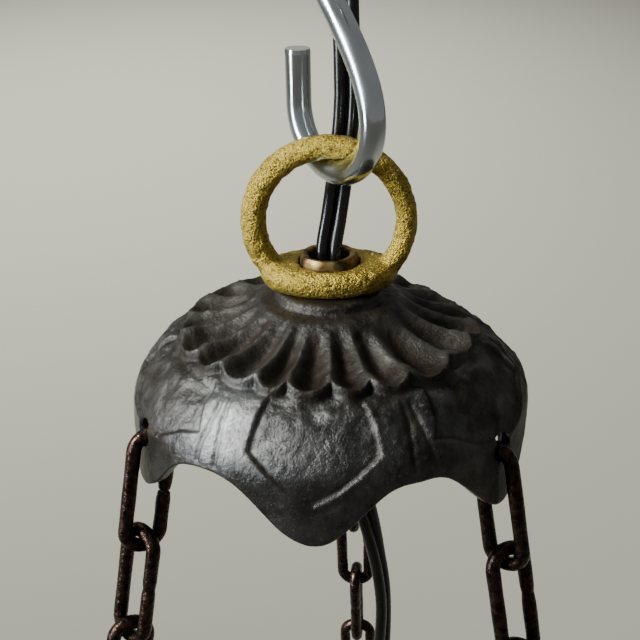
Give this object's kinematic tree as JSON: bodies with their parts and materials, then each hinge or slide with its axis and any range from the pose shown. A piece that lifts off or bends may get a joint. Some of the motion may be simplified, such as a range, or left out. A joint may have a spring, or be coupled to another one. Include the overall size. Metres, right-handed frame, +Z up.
{
  "type": "chain-hung pendant lamp",
  "caption": "Glass cup lamp hung by link chains from a cast scalloped crown with a ring loop, an S-hook and a ceiling hook; twin flex runs down through the crown's nipple.",
  "frame": {"origin": "centre of the ceiling plate's top face, where it lies against the ceiling", "axes": "+Z up, out of the top face; the lamp hangs along -Z; +X to the right and +Y away from the camera of the picture, along the plane of the ring loop"},
  "size_m": [0.146, 0.1471, 0.4843],
  "materials": {
    "ceiling_paint": "semi-gloss warm white paint",
    "zinc_steel": "bright zinc-plated wire",
    "gilt_casting": "gold paint over a rough sand casting",
    "aged_brass": "dull unlacquered brass",
    "black_iron": "black, rusted in the hollows",
    "dark_bronze": "dark brown patina",
    "black_flex": "glossy black",
    "black_moulding": "satin black",
    "porcelain": "unglazed white",
    "clear_glass": "clear blown glass, faintly green",
    "bulb_envelope": "frosted inside"
  },
  "bodies": {
    "ceiling_mount": {"ceiling_plate": "ceiling_paint", "ceiling_hook": "zinc_steel", "hook_locknut": "zinc_steel", "cord_gland": "black_moulding", "gland_nut": "black_moulding", "flex_upper": "black_flex"},
    "hanging_hook": {"s_hook": "zinc_steel"},
    "crown": {"ring_loop": "gilt_casting", "top_nipple": "aged_brass", "crown_cap": "black_iron", "crown_washer": "zinc_steel", "crown_locknut": "aged_brass", "flex_middle": "black_flex", "flex_lower": "black_flex"},
    "glass_holder": {"gallery_ring": "dark_bronze", "glass_bowl": "clear_glass", "lamp_bridge": "dark_bronze", "bridge_screw_1": "aged_brass", "bridge_screw_2": "aged_brass", "bridge_screw_3": "aged_brass", "holder_nipple": "aged_brass", "bridge_nut": "aged_brass", "cord_bush": "black_moulding", "holder_cap": "aged_brass", "holder_shell": "aged_brass", "holder_core": "porcelain", "contact_shell": "aged_brass", "centre_contact": "aged_brass", "bulb_cap": "zinc_steel", "bulb_glass": "bulb_envelope"},
    "left_chain": {"left_link_01": "dark_bronze", "left_link_02": "dark_bronze", "left_link_03": "dark_bronze", "left_link_04": "dark_bronze", "left_link_05": "dark_bronze", "left_link_06": "dark_bronze", "left_link_07": "dark_bronze", "left_link_08": "dark_bronze", "left_link_09": "dark_bronze", "left_link_10": "dark_bronze"},
    "right_chain": {"right_link_01": "dark_bronze", "right_link_02": "dark_bronze", "right_link_03": "dark_bronze", "right_link_04": "dark_bronze", "right_link_05": "dark_bronze", "right_link_06": "dark_bronze", "right_link_07": "dark_bronze", "right_link_08": "dark_bronze", "right_link_09": "dark_bronze", "right_link_10": "dark_bronze"},
    "back_chain": {"back_link_01": "dark_bronze", "back_link_02": "dark_bronze", "back_link_03": "dark_bronze", "back_link_04": "dark_bronze", "back_link_05": "dark_bronze", "back_link_06": "dark_bronze", "back_link_07": "dark_bronze", "back_link_08": "dark_bronze", "back_link_09": "dark_bronze", "back_link_10": "dark_bronze"}
  },
  "joints": [
    {"name": "hook_swing", "type": "hinge", "parent": "ceiling_mount", "child": "hanging_hook", "pos_m": [0, 0, -0.041], "axis": [0.7934, 0.6088, 0], "range_deg": [-15, 15], "deforming": ["flex_upper"]},
    {"name": "crown_swing", "type": "hinge", "parent": "hanging_hook", "child": "crown", "pos_m": [0, 0, -0.0914], "axis": [0.6088, -0.7934, 0], "range_deg": [-15, 15], "deforming": ["flex_middle"]},
    {"name": "glass_twist", "type": "hinge", "parent": "crown", "child": "glass_holder", "pos_m": [-0.00125, 0, -0.11414], "axis": [0, 0, 1], "range_deg": [-8, 8], "deforming": ["flex_lower"]},
    {"name": "left_chain_swing", "type": "hinge", "parent": "crown", "child": "left_chain", "pos_m": [-0.0325, -0.0149, -0.13469], "axis": [-0.9026, -0.4305, 0], "range_deg": [-3, 3]},
    {"name": "right_chain_swing", "type": "hinge", "parent": "crown", "child": "right_chain", "pos_m": [0.02647, -0.02074, -0.13469], "axis": [0.8007, -0.599, 0], "range_deg": [-3, 3]},
    {"name": "back_chain_swing", "type": "hinge", "parent": "crown", "child": "back_chain", "pos_m": [0.00231, 0.03443, -0.13469], "axis": [0.1028, 0.9947, 0], "range_deg": [-3, 3]}
  ],
  "couplings": [
    {"joint": "left_chain_swing", "follows": "glass_twist", "ratio": 0.3644},
    {"joint": "right_chain_swing", "follows": "glass_twist", "ratio": 0.3644},
    {"joint": "back_chain_swing", "follows": "glass_twist", "ratio": 0.3644}
  ]
}
